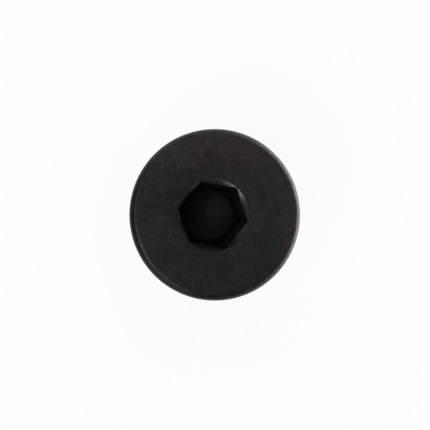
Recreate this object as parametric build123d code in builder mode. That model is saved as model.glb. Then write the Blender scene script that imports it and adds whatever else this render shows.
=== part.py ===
from build123d import *
from math import ceil, cos, radians, tan
import os

# Low head socket cap screw, M5 x 10, in the proportions of DIN 7984. It is one solid.
# Millimetres. Z is the screw's axis: Z = 0 is the bearing face under the head, the tip points down.

# Thread: metric coarse, right-hand
thread_diameter = 5.0       # nominal
thread_pitch = 0.8
thread_allowance = 0.024    # on diameter: the whole profile sits this far under nominal, class 6g
shank_length = 10.0         # bearing face to tip
tip_margin = 0.15           # the lead-in chamfer starts this far inside the thread's root
neck_clear_pitches = 1.75   # plain neck between the under-head fillet and the thread, in pitches

# Head
head_diameter = 8.5
head_height = 3.5
rim_radius = 0.4            # rounded upper edge
bearing_edge = 0.15         # broken lower edge
bearing_margin = 0.09       # the under-head fillet ends this far outside the thread's crests

# Socket
key_size = 3.0              # hexagon key, across flats
key_clearance = 0.02        # across flats
socket_floor = 0.8          # steel left between the bearing face's plane and the end of the hexagon
socket_corner_angle = 49.3  # from +X to the first corner of the hexagon
socket_offset = 0.15        # the socket's axis lies this far off the screw's, towards -X
mouth_margin = 0.06         # the countersink's edge lies this far outside the hexagon's corners
mouth_angle = 90.0          # included
pilot_margin = 0.22         # the round pilot hole's wall lies this far inside the hexagon's flats
drill_point_angle = 120.0   # included, the pilot's conical floor

# Thread profile, worked out from the basic 60 degree triangle
flank_slope = tan(radians(30))
triangle_height = thread_pitch / 2 / flank_slope
crest_radius = (thread_diameter - thread_allowance) / 2
pitch_radius = crest_radius - triangle_height * 3 / 8
sharp_root_radius = crest_radius - triangle_height * 7 / 8
root_radius = sharp_root_radius + triangle_height / 6  # a rolled thread's depth
root_half_width = (root_radius - sharp_root_radius) * flank_slope
groove_outer_radius = crest_radius + triangle_height / 16  # a little outside the crest
groove_half_width = (groove_outer_radius - sharp_root_radius) * flank_slope

# Shank
neck_radius = pitch_radius  # a rolled thread starts from a blank of its pitch diameter
under_head_radius = crest_radius + bearing_margin - neck_radius
neck_length = under_head_radius + neck_clear_pitches * thread_pitch
tip_radius = root_radius - tip_margin
groove_top = -(under_head_radius + neck_length) / 2  # the groove ends beside the plain neck
groove_turns = ceil((shank_length + groove_top) / thread_pitch) + 1  # and starts past the tip

# Socket
socket_flats = key_size + key_clearance
socket_depth = head_height - socket_floor
mouth_radius = socket_flats / 2 / cos(radians(30)) + mouth_margin
pilot_radius = socket_flats / 2 - pilot_margin

# One turn of the thread's groove: its flat-bottomed section swept up a helix.
with BuildPart() as groove_turn:
    with BuildLine():
        Helix(pitch=thread_pitch, height=thread_pitch, radius=pitch_radius)
    with BuildSketch(Plane.XZ):
        with BuildLine():
            Polyline(
                (root_radius, -root_half_width),
                (root_radius, root_half_width),
                (groove_outer_radius, groove_half_width),
                (groove_outer_radius, -groove_half_width),
                close=True,
            )
        make_face()
    sweep(is_frenet=True)

with BuildPart() as cap_screw:
    # Head: a plain disc, rounded above, with its lower edge broken.
    with BuildSketch():
        Circle(head_diameter / 2)
    extrude(amount=head_height)
    bearing_face, top_face = cap_screw.faces().filter_by(Axis.Z).sort_by(Axis.Z)
    fillet(top_face.edges(), radius=rim_radius)
    chamfer(bearing_face.edges(), length=bearing_edge)

    # Shank as turned: the neck with its fillet, a 45 degree cone out to the crests, and the
    # 45 degree lead-in chamfer at the tip.
    with BuildSketch(Plane.XZ):
        with BuildLine():
            Polyline(
                (0, 0),
                (neck_radius, 0),
                (neck_radius, -neck_length),
                (crest_radius, -neck_length - (crest_radius - neck_radius)),
                (crest_radius, -shank_length + (crest_radius - tip_radius)),
                (tip_radius, -shank_length),
                (0, -shank_length),
                close=True,
            )
        make_face()
    revolve(axis=Axis.Z)
    tip_face, bearing_face, top_face = cap_screw.faces().filter_by(Axis.Z).sort_by(Axis.Z)
    fillet(bearing_face.inner_wires()[0].edges(), radius=under_head_radius)

    # Thread: the groove's turns stacked one pitch apart, from the neck down past the tip.
    with Locations([(0, 0, groove_top - thread_pitch * turn) for turn in range(1, groove_turns + 1)]):
        add(groove_turn.part, mode=Mode.SUBTRACT)

    # The neck again, whole, ending in a 45 degree cone that meets the thread's root.
    with BuildSketch(Plane.XZ):
        with BuildLine():
            Polyline(
                (0, -under_head_radius),
                (neck_radius, -under_head_radius),
                (neck_radius, -neck_length),
                (0, -neck_length - neck_radius),
                close=True,
            )
        make_face()
    revolve(axis=Axis.Z)

    # Socket: pilot hole with its countersink and drill point, then the broached hexagon. It is a
    # little off the screw's axis, within what the standard allows.
    with Locations((-socket_offset, 0, head_height)):
        CounterSinkHole(
            radius=pilot_radius,
            counter_sink_radius=mouth_radius,
            depth=socket_depth,
            counter_sink_angle=mouth_angle,
        )
    with Locations((-socket_offset, 0, socket_floor)):
        Cone(
            bottom_radius=0,
            top_radius=pilot_radius,
            height=pilot_radius / tan(radians(drill_point_angle / 2)),
            align=(Align.CENTER, Align.CENTER, Align.MAX),
            mode=Mode.SUBTRACT,
        )
    with BuildSketch(Plane.XY.offset(head_height)):
        with Locations((-socket_offset, 0)):
            RegularPolygon(
                radius=socket_flats / 2,
                side_count=6,
                major_radius=False,
                rotation=socket_corner_angle,
            )
    extrude(amount=-socket_depth, mode=Mode.SUBTRACT)

cap_screw.part.label = "cap_screw"
os.makedirs("parts", exist_ok=True)
export_step(cap_screw.part, "parts/cap_screw.step")
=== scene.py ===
# %% [markdown]
# # A low head socket cap screw
#
# The real screw is one piece of steel. A blank is headed from wire, its hexagon socket is punched, its
# thread is rolled, and the whole is blackened. Here it is modelled in that order, as one mesh: a turned
# head with its socket, a threaded shank, and the two joined. It is drawn in millimetres, as on a
# drawing, and brought to metres at the end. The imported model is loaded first, because the finished
# screw has to stand where the plain one stands.

# %% Load the frame
import math

import bmesh
import bpy
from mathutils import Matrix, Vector


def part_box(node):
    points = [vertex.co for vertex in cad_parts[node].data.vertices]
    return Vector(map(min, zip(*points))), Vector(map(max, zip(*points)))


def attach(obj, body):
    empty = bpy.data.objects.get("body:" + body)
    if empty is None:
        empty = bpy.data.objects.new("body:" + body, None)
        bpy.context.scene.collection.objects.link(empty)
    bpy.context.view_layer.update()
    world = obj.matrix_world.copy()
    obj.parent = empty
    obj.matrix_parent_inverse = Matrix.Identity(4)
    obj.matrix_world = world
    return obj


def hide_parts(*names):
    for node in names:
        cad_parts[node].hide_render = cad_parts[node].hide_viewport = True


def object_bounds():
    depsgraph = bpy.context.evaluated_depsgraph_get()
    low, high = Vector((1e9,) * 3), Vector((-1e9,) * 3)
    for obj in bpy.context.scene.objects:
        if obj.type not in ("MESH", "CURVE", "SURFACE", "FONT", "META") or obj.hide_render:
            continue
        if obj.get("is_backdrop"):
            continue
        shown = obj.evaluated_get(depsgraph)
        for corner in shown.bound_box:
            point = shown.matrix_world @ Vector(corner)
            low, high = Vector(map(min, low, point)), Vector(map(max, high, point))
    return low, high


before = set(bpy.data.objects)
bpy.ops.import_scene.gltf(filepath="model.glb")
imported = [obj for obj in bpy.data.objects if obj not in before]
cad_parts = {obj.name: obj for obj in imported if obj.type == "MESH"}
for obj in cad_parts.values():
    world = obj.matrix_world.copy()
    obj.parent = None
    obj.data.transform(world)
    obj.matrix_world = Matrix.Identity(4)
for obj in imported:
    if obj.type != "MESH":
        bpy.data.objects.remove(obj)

cad_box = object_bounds()
plain_low, plain_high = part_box("cap_screw")
MM = 0.001
print("plain screw stands from", plain_low / MM, "to", plain_high / MM, "mm")

# %% [markdown]
# ## Sizes
#
# A drawing starts with its sizes. Head, shank and overall lengths are read from the loaded model, so
# both always agree. The others are those of an M5 screw: a 0.8 mm pitch and a 60 degree thread, a
# socket for a 3 mm key, punched a little off the axis, and the small roundings that every tool leaves.

# %% Sizes in millimetres
head_top = plain_high.z / MM
head_radius = round(plain_high.x / MM, 2)
tip_end = plain_low.z / MM
rim_radius = 0.4
bearing_edge = 0.15

socket_flats = 3.02
socket_floor = 0.8
socket_corner_angle = math.radians(49.3)
socket_offset = 0.15
hexagon_radius = socket_flats / math.sqrt(3)
mouth_margin = 0.06
mouth_radius = hexagon_radius + mouth_margin
pilot_radius = 1.29
drill_half_angle = math.radians(60)
pilot_cone_height = pilot_radius / math.tan(drill_half_angle)

pitch = 0.8
flank_angle = math.radians(30)
triangle_height = pitch * math.sqrt(3) / 2
crest_radius = 2.488
neck_radius = crest_radius - triangle_height * 3 / 8
under_head_radius = 0.35
neck_end = -1.75
tip_radius = 1.847
print(f"head {2 * head_radius:.2f} x {head_top:.2f}, shank {-tip_end:.2f}, neck {2 * neck_radius:.3f} mm")

# %% [markdown]
# ## Drawing and picking
#
# Most steps begin in one of two ways: an outline is drawn point by point, or a few parts of the mesh
# are picked by where they lie. An outline starts as a plane merged to one vertex, and each further
# point is extruded from the last, which is how a profile is drawn by hand. Most steps also end alike,
# with the mesh's seams closed and its faces turned outwards.

# %% Draw an outline, and pick parts of a mesh
def draw_outline(name, points):
    """A chain of edges through points (radius, height), in the XZ plane, left in edit mode."""
    bpy.ops.object.select_all(action="DESELECT")
    bpy.ops.mesh.primitive_plane_add(size=1, location=(0, 0, 0))
    obj = bpy.context.object
    obj.name = obj.data.name = name
    bpy.ops.object.mode_set(mode="EDIT")
    bpy.ops.mesh.select_mode(type="VERT")
    bpy.ops.mesh.select_all(action="SELECT")
    bpy.ops.mesh.merge(type="CENTER")
    here = (0, 0)
    for index, (radius, height) in enumerate(points):
        step = (radius - here[0], 0, height - here[1])
        if index:
            bpy.ops.mesh.extrude_region_move(TRANSFORM_OT_translate={"value": step})
        else:
            bpy.ops.transform.translate(value=step)
        here = (radius, height)
    return obj


def pick(obj, kind, test):
    """Selects the vertices, edges or faces whose middle passes a test, and nothing else."""
    bpy.ops.mesh.select_mode(type=kind)
    bpy.ops.mesh.select_all(action="DESELECT")
    mesh = bmesh.from_edit_mesh(obj.data)
    parts = {"VERT": mesh.verts, "EDGE": mesh.edges, "FACE": mesh.faces}[kind]
    count = 0
    for part in parts:
        corners = [part.co] if kind == "VERT" else [corner.co for corner in part.verts]
        if test(sum(corners, Vector()) / len(corners), part):
            part.select_set(True)
            count += 1
    mesh.select_flush_mode()
    bmesh.update_edit_mesh(obj.data)
    return count


def near(value, target, reach=1e-3):
    return abs(value - target) < reach


def tidy_mesh():
    """Closes the seams of a mesh in edit mode, and turns its faces outwards."""
    bpy.ops.mesh.select_all(action="SELECT")
    bpy.ops.mesh.remove_doubles(threshold=1e-4)
    bpy.ops.mesh.normals_make_consistent(inside=False)

# %% [markdown]
# ## The turned head
#
# The head, the plain neck under it and the fillet between them are round, so one outline spun about the
# axis makes them all. The corners are rounded in the outline, where each is a single vertex, because
# one bevel there becomes a clean ring all the way round. The outline starts at the socket's mouth and
# ends in a cone on the axis, which will lie inside the threaded shank.

# %% Draw and spin the head
TURNING_STEPS = 192
neck_overlap = 0.01

head = draw_outline("head", [
    (mouth_radius, head_top),
    (head_radius, head_top),
    (head_radius, 0),
    (neck_radius, 0),
    (neck_radius, neck_end - neck_overlap),
    (0, neck_end - neck_overlap - neck_radius),
])
for corner, size, steps in (
    ((head_radius, head_top), rim_radius, 12),
    ((head_radius, 0), bearing_edge, 1),
    ((neck_radius, 0), under_head_radius, 8),
):
    pick(head, "VERT", lambda at, part: near(at.x, corner[0]) and near(at.z, corner[1]))
    bpy.ops.mesh.bevel(affect="VERTICES", offset=size, segments=steps)
bpy.ops.mesh.select_all(action="SELECT")
bpy.ops.mesh.spin(steps=TURNING_STEPS, angle=2 * math.pi, center=(0, 0, 0), axis=(0, 0, 1))
tidy_mesh()
print("turned head:", len(bmesh.from_edit_mesh(head.data).verts), "vertices")

# %% [markdown]
# ## The hexagon socket
#
# On the real screw a punch drives a hexagon into a countersunk pilot hole, so the countersink's cone
# and the six flats meet in shallow scallops. A hexagon drawn as a ring is dropped onto that cone, and
# this gives the scallops their true curve. The ring is bridged to the mouth, pulled down for the walls
# and flattened at the floor, where the pilot hole's ledge and its drill point close it. The point is a
# little blunt, so the cone stops short of its apex and ends in a shallow dimple.

# %% Drop a hexagon onto the countersink
CUTS_PER_FLAT = TURNING_STEPS // 6 - 1
FIRST_CORNER_ON_X = math.radians(-90)

bpy.ops.mesh.primitive_circle_add(
    vertices=6, radius=hexagon_radius, location=(0, 0, head_top), rotation=(0, 0, FIRST_CORNER_ON_X))
bpy.ops.mesh.subdivide(number_cuts=CUTS_PER_FLAT)
cage = bmesh.from_edit_mesh(head.data)
for vert in cage.verts:
    if vert.select:
        vert.co.z = head_top - (mouth_radius - vert.co.xy.length)
bmesh.update_edit_mesh(head.data)


def is_open(at, part):
    return len(part.link_faces) < 2


print("open edges to bridge:", pick(head, "EDGE", is_open))
bpy.ops.mesh.bridge_edge_loops()

# %% Pull down the walls and close the floor
DIMPLE_RADIUS = 0.08
CONE_SHARE, DIMPLE_SHARE = 0.93, 0.02

pick(head, "EDGE", is_open)
bpy.ops.mesh.extrude_edges_move()
bpy.ops.transform.resize(value=(1, 1, 0), center_override=(0, 0, socket_floor))
bpy.ops.mesh.primitive_circle_add(
    vertices=TURNING_STEPS, radius=pilot_radius, location=(0, 0, socket_floor - pilot_cone_height),
    rotation=(0, 0, FIRST_CORNER_ON_X))
pick(head, "EDGE", is_open)
bpy.ops.mesh.bridge_edge_loops()
pick(head, "EDGE", is_open)
bpy.ops.transform.translate(value=(0, 0, pilot_cone_height))
for next_radius, drop in ((DIMPLE_RADIUS, CONE_SHARE), (0, DIMPLE_SHARE)):
    bpy.ops.mesh.extrude_edges_move(TRANSFORM_OT_translate={"value": (0, 0, -pilot_cone_height * drop)})
    bpy.ops.transform.resize(value=(next_radius / pilot_radius,) * 2 + (1,), center_override=(0, 0, 0))
tidy_mesh()
print("edges left open:", pick(head, "EDGE", is_open))

# %% Ease the socket's edges
CORNER_EASE = 0.03
SHARP = math.radians(20)

scallops_and_corners = pick(head, "EDGE", lambda at, part: (
    at.xy.length < hexagon_radius + 0.01
    and at.z > socket_floor + CORNER_EASE
    and part.calc_face_angle(0) > SHARP))
bpy.ops.mesh.bevel(affect="EDGES", offset=CORNER_EASE, segments=2)
pick(head, "EDGE", lambda at, part: (
    near(at.z, head_top) and near(at.xy.length, mouth_radius) and part.calc_face_angle(0) > SHARP))
bpy.ops.mesh.bevel(affect="EDGES", offset=CORNER_EASE, segments=2)
bpy.ops.object.mode_set(mode="OBJECT")
print("eased", scallops_and_corners, "edges in the socket")

# %% [markdown]
# A punch never runs quite on the axis. The whole socket is turned to its angle and then pushed a little
# to one side. Only the flat ring round its mouth changes shape, and it stays flat.

# %% Turn the socket and set it off the axis
head.rotation_euler.z = socket_corner_angle
bpy.ops.object.transform_apply(rotation=True)
bpy.ops.object.mode_set(mode="EDIT")
moved = pick(head, "VERT", lambda at, part: at.xy.length < mouth_radius + 2 * CORNER_EASE and at.z > 0)
bpy.ops.transform.translate(value=(-socket_offset, 0, 0))
bpy.ops.object.mode_set(mode="OBJECT")
print("moved", moved, "vertices of the socket")

# %% [markdown]
# ## The thread
#
# A thread is one outline repeated along a helix: half a crest, down one flank, round the root, up the
# other flank and on to the next crest. The Screw modifier winds it up the axis, one pitch a turn, and
# each turn's end is the next one's start. Rolling dies leave a round root, so the outline runs to
# the sharp point of the basic triangle and is bevelled there, until the root lies a sixth of the
# triangle's height above that point.

# %% Wind the thread
THREAD_STEPS = 96
THREAD_TURNS = 13
CREST_EASE = 0.015

flank_drop = triangle_height * 7 / 8
crest_half = pitch / 2 - flank_drop * math.tan(flank_angle)
root_ease = triangle_height / 6 / (2 - math.sqrt(2)) / math.cos(flank_angle)
first_groove = (neck_end - under_head_radius) / 2
thread_start = first_groove - pitch * (THREAD_TURNS - 0.5)

rod = draw_outline("rod", [
    (crest_radius, thread_start),
    (crest_radius, thread_start + crest_half),
    (crest_radius - flank_drop, thread_start + pitch / 2),
    (crest_radius, thread_start + pitch - crest_half),
    (crest_radius, thread_start + pitch),
])
pick(rod, "VERT", lambda at, part: at.x < crest_radius - flank_drop / 2)
bpy.ops.mesh.bevel(affect="VERTICES", offset=root_ease, segments=6)
pick(rod, "VERT", lambda at, part: near(abs(at.z - thread_start - pitch / 2), pitch / 2 - crest_half))
bpy.ops.mesh.bevel(affect="VERTICES", offset=CREST_EASE, segments=2)
bpy.ops.object.mode_set(mode="OBJECT")

winding = rod.modifiers.new("winding", "SCREW")
winding.axis = "Z"
winding.angle = 2 * math.pi
winding.screw_offset = pitch
winding.iterations = THREAD_TURNS
winding.steps = winding.render_steps = THREAD_STEPS
bpy.ops.object.modifier_apply(modifier=winding.name)
print("wound thread:", len(rod.data.vertices), "vertices")

# %% [markdown]
# The wound thread has ragged ends. A bisect squares each of them and fills the cut: one at the tip, the
# other inside the neck. The ends of the thread are then chamfered as on a lathe, by keeping only what
# lies inside a turned envelope with a 45 degree cone at each end.

# %% Square the thread's ends
ROD_TOP = -1.2

bpy.ops.object.mode_set(mode="EDIT")
tidy_mesh()
for height, cuts in ((ROD_TOP, {"clear_outer": True}), (tip_end, {"clear_inner": True})):
    bpy.ops.mesh.select_all(action="SELECT")
    bpy.ops.mesh.bisect(
        plane_co=(0, 0, height), plane_no=(0, 0, 1), use_fill=True, threshold=1e-5, **cuts)
tidy_mesh()
print("open edges after squaring:", pick(rod, "EDGE", is_open))
bpy.ops.object.mode_set(mode="OBJECT")

# %% Chamfer them with a turned envelope
ENVELOPE_CLEAR = 0.1

envelope_radius = crest_radius + ENVELOPE_CLEAR
envelope_top = ROD_TOP + ENVELOPE_CLEAR
envelope_bottom = tip_end - ENVELOPE_CLEAR
envelope = draw_outline("envelope", [
    (0, envelope_top),
    (neck_radius - (envelope_top - neck_end), envelope_top),
    (envelope_radius, neck_end - (envelope_radius - neck_radius)),
    (envelope_radius, tip_end + (envelope_radius - tip_radius)),
    (tip_radius - ENVELOPE_CLEAR, envelope_bottom),
    (0, envelope_bottom),
])
bpy.ops.mesh.select_all(action="SELECT")
bpy.ops.mesh.spin(steps=TURNING_STEPS, angle=2 * math.pi, center=(0, 0, 0), axis=(0, 0, 1))
tidy_mesh()
bpy.ops.object.mode_set(mode="OBJECT")


def combine(obj, other, operation):
    """Applies a Boolean between two closed meshes, and deletes the other one."""
    bpy.ops.object.select_all(action="DESELECT")
    obj.select_set(True)
    bpy.context.view_layer.objects.active = obj
    boolean = obj.modifiers.new(operation.lower(), "BOOLEAN")
    boolean.operation = operation
    boolean.solver = "EXACT"
    boolean.object = other
    bpy.ops.object.modifier_apply(modifier=boolean.name)
    bpy.data.objects.remove(other)
    print(operation.lower(), obj.name, "->", len(obj.data.vertices), "vertices")


combine(rod, envelope, "INTERSECT")

# %% [markdown]
# ## One piece
#
# Head and shank overlap inside the neck, so a Boolean union makes one closed mesh of them. It is then
# smoothed by angle, which keeps the thread's crests, the hexagon and the chamfers crisp, and is brought
# from millimetres to metres.

# %% Join head and shank
screw = head
combine(screw, rod, "UNION")
screw.name = screw.data.name = "socket_screw"
bpy.ops.object.mode_set(mode="EDIT")
tidy_mesh()
stray_edges = pick(screw, "EDGE", lambda at, part: len(part.link_faces) != 2)
bpy.ops.object.mode_set(mode="OBJECT")
screw.scale = (MM, MM, MM)
bpy.ops.object.transform_apply(scale=True)
bpy.ops.object.shade_smooth_by_angle(angle=math.radians(30))
weighting = screw.modifiers.new("weighting", "WEIGHTED_NORMAL")
weighting.keep_sharp = True
bpy.ops.object.modifier_apply(modifier=weighting.name)
print("screw:", len(screw.data.polygons), "faces,", stray_edges, "edges not shared by two")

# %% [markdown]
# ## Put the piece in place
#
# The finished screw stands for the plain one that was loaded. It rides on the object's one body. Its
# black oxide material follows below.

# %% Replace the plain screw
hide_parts("cap_screw")
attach(screw, "root")
print(screw.name, "stands for cap_screw")

# %% [markdown]
# ## Writing a material as sums
#
# A pattern in a material is arithmetic on positions, and node trees of many small Math nodes are hard to
# read. The class below wraps one socket, so that an ordinary expression adds the nodes: `1 - worn` makes
# a Subtract node. Every other kind of node comes from its one method.

# %% A socket that can stand in an expression
class Wire:
    """One socket of a node tree."""

    def __init__(self, tree, socket=None):
        self.tree = tree
        self.socket = socket

    def node(self, kind, settings={}, values={}, output=0):
        """Adds a node, sets it up, fills or links its sockets, and returns one of its outputs."""
        made = self.tree.nodes.new("ShaderNode" + kind)
        for name, setting in settings.items():
            setattr(made, name, setting)
        for name, value in values.items():
            if isinstance(value, Wire):
                self.tree.links.new(value.socket, made.inputs[name])
            else:
                made.inputs[name].default_value = value
        return Wire(self.tree, made.outputs[output])

    def math(self, operation, *values):
        return self.node("Math", {"operation": operation}, dict(enumerate(values)))

    def __add__(self, other):
        return self.math("ADD", self, other)

    def __sub__(self, other):
        return self.math("SUBTRACT", self, other)

    def __rsub__(self, other):
        return self.math("SUBTRACT", other, self)

    def __mul__(self, other):
        return self.math("MULTIPLY", self, other)

    def __truediv__(self, other):
        return self.math("DIVIDE", self, other)

    __radd__ = __add__
    __rmul__ = __mul__


def ease(value, low, high):
    """0 below low, 1 above high, and a smooth step between them."""
    return value.node("MapRange", {"interpolation_type": "SMOOTHSTEP"}, {
        "Value": value, "From Min": low, "From Max": high})


def band(value, middle, width):
    """1 at the middle, falling smoothly to 0 at that distance on either side."""
    return 1 - ease((value - middle).math("ABSOLUTE", value - middle), 0, width)


def blend(share, first, second):
    """A colour between two colours."""
    return share.node("Mix", {"data_type": "RGBA"}, {0: share, 6: first, 7: second}, output=2)

# %% [markdown]
# ## Black oxide
#
# Black oxide is a skin of magnetite, about a micrometre thick, grown on the steel in a hot salt bath and
# sealed with oil. It is nearly black and dull, with faint brown, violet and green clouds where the oil
# lies thicker, and it keeps the fine grain of the tumbled steel under it.
#
# A painted texture could hold all that, but it would need the screw to be unwrapped. The pattern here
# reads object coordinates instead, turned into millimetres. From them come the distance from the axis,
# the depth below the head's top and the side of the screw, and these say which surface a point is on.

# %% Places on the screw
oxide = bpy.data.materials.new("black_oxide")
oxide.use_nodes = True
shader = oxide.node_tree.nodes["Principled BSDF"]
start = Wire(oxide.node_tree)
place = start.node("Mapping", {}, {
    "Vector": start.node("TexCoord", output="Object"), "Scale": (1 / MM, 1 / MM, 1 / MM)})
across, along, height = (
    start.node("SeparateXYZ", {}, {"Vector": place}, output=axis) for axis in ("X", "Y", "Z"))
across_socket = across + socket_offset
radius, socket_radius = (
    start.math("SQRT", side * side + along * along) for side in (across, across_socket))
depth = head_top - height
slope = start.node("SeparateXYZ", {}, {"Vector": start.node("TexCoord", output="Normal")}, output="Z")


def towards(bearing, side=across, distance=radius):
    """1 on the side of the axis at this bearing in degrees, 0 beside it and -1 opposite."""
    turn = math.radians(bearing)
    return (math.cos(turn) * side + math.sin(turn) * along) / distance


def in_socket(bearing):
    """The same, about the socket's axis."""
    return towards(bearing, across_socket, socket_radius)


def clouds(scale, detail, roughness=0.5, vector=place):
    """Noise from 0 to 1, with so many spots a millimetre."""
    return start.node("TexNoise", {}, {
        "Vector": vector, "Scale": scale, "Detail": detail, "Roughness": roughness})

# %% [markdown]
# ## Wear, and painted highlights and shade
#
# The skin is not the same everywhere. Screws rub on each other in their box, which greys the thread's
# crests and the head's lower edge in patches. On one side the top is painted a little paler towards its
# rim, a painted sheen, and the rounded edge is painted bright metal, a painted highlight. On the opposite
# side a thin polished line marks where the rounding starts. One side of the countersink is painted bright
# metal too, a painted highlight. On the other side its inner half is painted near black, a painted shade,
# and its outer half is made a little paler.
#
# Shade is painted near black on a stretch of the rounded edge and on the socket's ledge. The drill point
# in the middle is paler, and its tip is painted paler still, a painted glint. Each of these is a mask, a
# number from 0 to 1 worked out from place and slope alone, so that it stays put from every side.

# %% Where the skin is rubbed, and where highlights and shade are painted
# Bearings in degrees: of the painted sheen, the painted rim highlight and the polished line, then of the
# painted highlight and the painted shade in the countersink.
SHEEN_SIDE, RIM_HIGHLIGHT_SIDE, POLISHED_SIDE = 45, 10, 228
COUNTERSINK_HIGHLIGHT_SIDE, COUNTERSINK_SHADE_SIDE = 45, 165
COUNTERSINK_ENDS = (0.36, 0.42)
COUNTERSINK_SHADE_ENDS = (1.58, 1.68)
ROUND_EDGE_STARTS = head_radius - rim_radius

foot = band(radius, head_radius - bearing_edge / 2, 0.12) * band(height, bearing_edge / 2, 0.14)
crests = ease(radius, crest_radius - 0.09, crest_radius) * (1 - ease(height, neck_end - 0.4, neck_end))
patches = ease(clouds(1.3, 3), 0.36, 0.66)
rubbed = (foot + crests) * (0.35 + 0.65 * patches)

in_countersink = (1 - ease(depth, *COUNTERSINK_ENDS)) \
    * (1 - ease(socket_radius, mouth_radius, mouth_radius + 0.03))
# Painted highlight: one side of the countersink is made bright, smooth metal.
painted_countersink_highlight = band(slope, 0.7, 0.28) * in_countersink * ease(in_socket(COUNTERSINK_HIGHLIGHT_SIDE), -0.2, 0.6)
# Painted shade on the other side of the countersink: near black on its inner half, a little paler on its
# outer half.
countersink_shade_side = (1 - ease(slope, 0.85, 0.95)) * in_countersink * ease(in_socket(COUNTERSINK_SHADE_SIDE), 0.34, 0.64)
painted_countersink_shade = countersink_shade_side * (1 - ease(socket_radius, *COUNTERSINK_SHADE_ENDS))
outer_shade_side = countersink_shade_side - painted_countersink_shade

ring = band(radius, ROUND_EDGE_STARTS + 0.11, 0.12) * (1 - ease(depth, 0.05, 0.10)) \
    * ease(towards(POLISHED_SIDE), 0.4, 0.8)
# Painted sheen: on one side the top is a little paler towards its rim.
painted_sheen = ease(radius, 2.4, 3.9) * ease(towards(SHEEN_SIDE), -0.5, 0.7)
# Painted highlight: on one side the rounded edge is made bright metal.
painted_rim_highlight = ease(radius, head_radius - 0.31, head_radius - 0.13) * (1 - ease(depth, 0.45, 0.65)) \
    * ease(towards(RIM_HIGHLIGHT_SIDE), 0.1, 0.8)
print("masks of the rubbed places:", len(oxide.node_tree.nodes), "nodes so far")

# %% Where shade is painted, and the socket's inside
# Bearing of the painted shade on the rounded edge.
RIM_SHADE_SIDE = 215
BELOW_THE_SOCKET = (4.0, 4.5)

inside = (1 - ease(socket_radius, hexagon_radius, mouth_radius)) \
    * ease(depth, 0.3, 0.6) * (1 - ease(depth, *BELOW_THE_SOCKET))
drilled = inside * band(slope, math.sin(drill_half_angle), 0.12)
# Painted glint: the drill point's tip is made paler and smoother.
point = inside * (1 - ease(socket_radius, 0.04, 0.14))
# Painted shade: the socket's ledge is made near black.
painted_ledge_shade = inside * ease(slope, 0.94, 0.98)
# Painted shade: on one side a stretch of the rounded edge is made near black.
painted_rim_shade = ease(radius, head_radius - 0.25, head_radius - 0.17) * (1 - ease(depth, 0.25, rim_radius)) \
    * ease(towards(RIM_SHADE_SIDE), 0.1, 0.8)
# All painted shade: on the rim, in the countersink and on the ledge.
painted_shade = 0.60 * painted_rim_shade + 0.25 * painted_countersink_shade + 0.85 * painted_ledge_shade
print("masks of the thick places:", len(oxide.node_tree.nodes), "nodes so far")

# %% [markdown]
# ## Tint, dullness and grain
#
# Four near-black tints are blended by soft noise: brown and violet towards the back of the head, green
# towards its front. Two finer noises mottle them. Where the skin is rubbed the steel shows through as
# grey metal, and the painted highlights are the same grey metal. Where shade is painted the colour is
# close to none.
#
# Most of what the eye reads as this finish is not colour but gloss, so the same noises vary the
# roughness, and a fine bump gives the tumbled grain. The head's side was pressed against a die, so
# the grain is weaker there than on the top.

# %% The tint
NEUTRAL = (0.0026, 0.0027, 0.0028, 1)
BROWN = (0.0070, 0.0032, 0.0016, 1)
VIOLET = (0.0066, 0.0026, 0.0042, 1)
GREEN = (0.0002, 0.0020, 0.0011, 1)
SOCKET_WALL = (0.0038, 0.0042, 0.0042, 1)
DRILLED_FLOOR = (0.0066, 0.0072, 0.0072, 1)
# Near black for the painted shade.
SHADE_BLACK = (0.0008, 0.0009, 0.0009, 1)
# Grey steel for real wear, and for the painted highlights.
STEEL_AND_HIGHLIGHT_GREY = (0.09, 0.088, 0.085, 1)
DARK_SPOT = (0.05, 0.05, 0.05, 1)
PALE_SPOT = (1.95, 1.95, 1.95, 1)
DRIFT = 0.03

elsewhere = start.node("Mapping", {}, {"Vector": place, "Location": (3.0, 5.0, 1.0)})
browns = ease(clouds(0.5, 1, vector=elsewhere) + DRIFT * along, 0.42, 0.62)
violets = ease(clouds(0.7, 1) + DRIFT * along, 0.48, 0.68)
greens = ease(clouds(0.6, 1, vector=elsewhere) - DRIFT * along, 0.42, 0.62)
tint = blend(0.7 * violets, blend(browns, blend(greens, NEUTRAL, GREEN), BROWN), VIOLET)

mottle = clouds(2.5, 4, 0.6)
speckle = clouds(7, 3, 0.7)
spots = blend(ease(0.5 * mottle + 0.5 * speckle, 0.40, 0.60), DARK_SPOT, PALE_SPOT)
tint = tint.node(
    "Mix", {"data_type": "RGBA", "blend_type": "MULTIPLY"}, {0: 1, 6: tint, 7: spots}, output=2)
tint = blend(drilled, blend(inside, tint, SOCKET_WALL), DRILLED_FLOOR)
# Grey metal for real wear, and for the painted highlights, the painted sheen and the painted glint.
wear_and_painted_highlights = 0.5 * rubbed + 0.6 * painted_countersink_highlight + 0.3 * point + 0.06 * painted_sheen + 0.10 * outer_shade_side \
    + 0.9 * painted_rim_highlight
colour = blend(wear_and_painted_highlights, blend(painted_shade, tint, SHADE_BLACK), STEEL_AND_HIGHLIGHT_GREY)

# %% Gloss and grain
GRAIN_HEIGHT = 0.03 * MM

dullness = 0.19 + 0.22 * mottle + 0.20 * speckle + 0.006 * (across + along) + 0.25 * inside
polish = 0.10 * rubbed + 0.14 * painted_countersink_highlight + 0.18 * ring + 0.07 * drilled + 0.20 * point
metal = 0.55 * rubbed + 0.90 * painted_countersink_highlight + 0.90 * painted_rim_highlight + painted_shade

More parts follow.
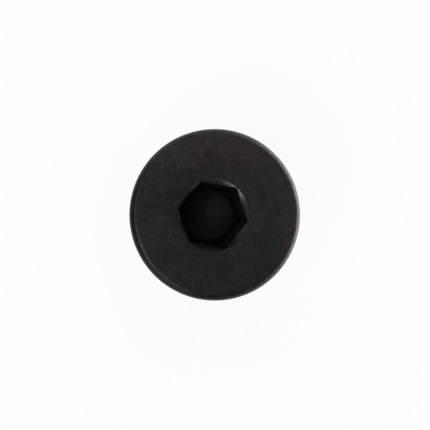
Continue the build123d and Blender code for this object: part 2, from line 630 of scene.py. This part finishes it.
smooth = 0.9 * (painted_rim_shade + ring + inside) + 1.2 * painted_countersink_highlight
grain = (clouds(7, 4, 0.65) + 0.35 * mottle) * (1.5 - smooth) * (0.3 + 0.7 * ease(slope, 0.5, 0.9))
bump = start.node("Bump", {}, {"Height": grain, "Strength": 1.0, "Distance": GRAIN_HEIGHT})

for name, value in (
    ("Base Color", colour),
    ("Roughness", dullness - polish),
    ("Metallic", metal),
    ("Normal", bump),
):
    oxide.node_tree.links.new(value.socket, shader.inputs[name])
shader.inputs["Specular IOR Level"].default_value = 0.25

screw.data.materials.clear()
screw.data.materials.append(oxide)
print("black oxide:", len(oxide.node_tree.nodes), "nodes")

# %% [markdown]
# ## The floor
#
# The screw stands on white paper. Paper alone would come out grey, because no lamp here is strong enough
# to burn it out, and more light would wash out the black. So the paper glows at a strength of exactly 1,
# which is white, but only for rays that come from the camera or from a reflection. What lands on the
# screw as light is unchanged. Near the screw a share of plain paper is left in, to take its shadow.

# %% White paper
PAPER_SHARE = 0.15
SHADOW_REACH = (30 * MM, 120 * MM)

bpy.ops.object.select_all(action="DESELECT")
bpy.ops.mesh.primitive_plane_add(size=4, location=(0, 0, plain_low.z))
floor = bpy.context.object
floor.name = "floor"
paper = bpy.data.materials.new("white_paper")
paper.use_nodes = True
sheet = paper.node_tree.nodes["Principled BSDF"]
sheet.inputs["Base Color"].default_value = (0.9, 0.9, 0.9, 1)
sheet.inputs["Roughness"].default_value = 0.9
sheet.inputs["Specular IOR Level"].default_value = 0

surface = Wire(paper.node_tree)
glow = surface.node("Emission", {}, {"Color": (1, 1, 1, 1), "Strength": 1})
seen = sum(surface.node("LightPath", output=ray) for ray in (
    "Is Camera Ray", "Is Glossy Ray", "Is Transmission Ray"))
spot = surface.node("TexCoord", output="Object")
reach = spot.node("VectorMath", {"operation": "LENGTH"}, {0: spot}, output="Value")
share = seen * (1 - PAPER_SHARE * (1 - ease(reach, *SHADOW_REACH)))
mixed = surface.node("MixShader", {}, {0: share, 1: Wire(paper.node_tree, sheet.outputs[0]), 2: glow})
paper.node_tree.links.new(mixed.socket, paper.node_tree.nodes["Material Output"].inputs["Surface"])
floor.data.materials.append(paper)
floor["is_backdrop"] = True
print(f"floor at {floor.location.z / MM:.2f} mm")

# %% [markdown]
# ## The camera
#
# The head is looked at from straight above, but for a few degrees of tilt to the left. The tilt shows
# the socket's right-hand walls and slides the drill point off its middle. The camera is close, a few
# centimetres away as for a close-up, so the socket's floor looks narrower than its mouth. The lens
# follows from the distance and from the width that the view has to take in.

# %% Look down on the head
VIEW_TILT = math.radians(6.5)
VIEW_DISTANCE = 36.4 * MM
FRAME_WIDTH = 21.07 * MM
SENSOR_WIDTH = 36

aim = Vector((-0.08, -0.01, head_top)) * MM
upwards = Vector((-math.sin(VIEW_TILT), 0, math.cos(VIEW_TILT)))
bpy.ops.object.camera_add(location=aim + upwards * VIEW_DISTANCE, rotation=(0, -VIEW_TILT, 0))
camera = bpy.context.object
camera.data.sensor_width = SENSOR_WIDTH
camera.data.lens = SENSOR_WIDTH * VIEW_DISTANCE / FRAME_WIDTH
camera.data.clip_start = 1 * MM
camera.data.clip_end = 10
bpy.context.scene.camera = camera
bpy.context.scene.view_settings.view_transform = "Standard"
print(f"lens {camera.data.lens:.1f} mm, {VIEW_DISTANCE / MM:.0f} mm from the head")

# %% [markdown]
# ## Lamps and room
#
# A black part is lit by what it reflects. Two broad soft boxes, one in front on the left and one behind,
# give the flat face its even sheen. Two thin strips near the horizon draw the edges: the right one
# lights a crescent on the rounded edge, the low one two arcs in the countersink. They are switched off
# for matt surfaces, because so close to the floor they would blot the paper. The top box does the
# opposite. It fills the plain light level, and no reflection shows it.
#
# The room is white at the horizon, grey above and dark overhead, as in a tent with a hole for the
# camera. The camera itself sees it white.

# %% Soft boxes
def softbox(name, turn, lift, distance, size, brightness, matt=True, gloss=True):
    """An area lamp that faces the origin from a bearing and an elevation, in degrees.

    Its power follows from its brightness and its size, so a larger lamp isn't a dimmer one.
    """
    turn, lift = math.radians(turn), math.radians(lift)
    away = Vector((math.cos(turn) * math.cos(lift), math.sin(turn) * math.cos(lift), math.sin(lift)))
    bpy.ops.object.light_add(
        type="AREA", location=away * distance, rotation=away.to_track_quat("Z", "Y").to_euler())
    lamp = bpy.context.object
    lamp.name = name
    lamp.visible_camera = False
    lamp.visible_diffuse = matt
    lamp.visible_glossy = gloss
    lamp.data.shape = "RECTANGLE"
    lamp.data.size, lamp.data.size_y = size
    lamp.data.energy = brightness * math.pi * size[0] * size[1]
    print(f"{name}: {lamp.data.energy:.3f} W")


softbox("left_box", 219, 60, 0.20, (0.13, 0.06), 4.5)
softbox("back_box", 100, 55, 0.25, (0.24, 0.16), 1.37)
softbox("right_strip", 8, -8, 0.04, (0.06, 0.006), 13.0, matt=False)
softbox("low_strip", 232, 6, 0.20, (0.16, 0.025), 6.5, matt=False)
softbox("top_box", 0, 90, 0.30, (0.30, 0.30), 1.5, gloss=False)

# %% The room
WHITE = (1, 1, 1, 1)
WALL = (0.38, 0.38, 0.38, 1)
OVERHEAD = (0.15, 0.15, 0.15, 1)
HORIZON_ENDS = (0.0, 0.12)
OVERHEAD_STARTS = (0.75, 0.95)

world = bpy.data.worlds.new("studio")
bpy.context.scene.world = world
world.use_nodes = True
room = Wire(world.node_tree)
rise = room.node("SeparateXYZ", {}, {"Vector": room.node("TexCoord", output="Generated")}, output="Z")
tent = blend(ease(rise, *OVERHEAD_STARTS), blend(ease(rise, *HORIZON_ENDS), WHITE, WALL), OVERHEAD)
backdrop = blend(room.node("LightPath", output="Is Camera Ray"), tent, WHITE)
world.node_tree.links.new(backdrop.socket, world.node_tree.nodes["Background"].inputs["Color"])
print("room:", len(world.node_tree.nodes), "nodes")

# %% [markdown]
# ## Finish
#
# The dressed screw has to be as large as the plain one, so both boxes are written down side by side.

# %% Print the boxes
dressed_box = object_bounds()
boxes = {"cad": cad_box, "visual": dressed_box}
for name, (low, high) in boxes.items():
    print(name, "box:", " x ".join(f"{side / MM:.2f}" for side in Vector(high) - Vector(low)), "mm")
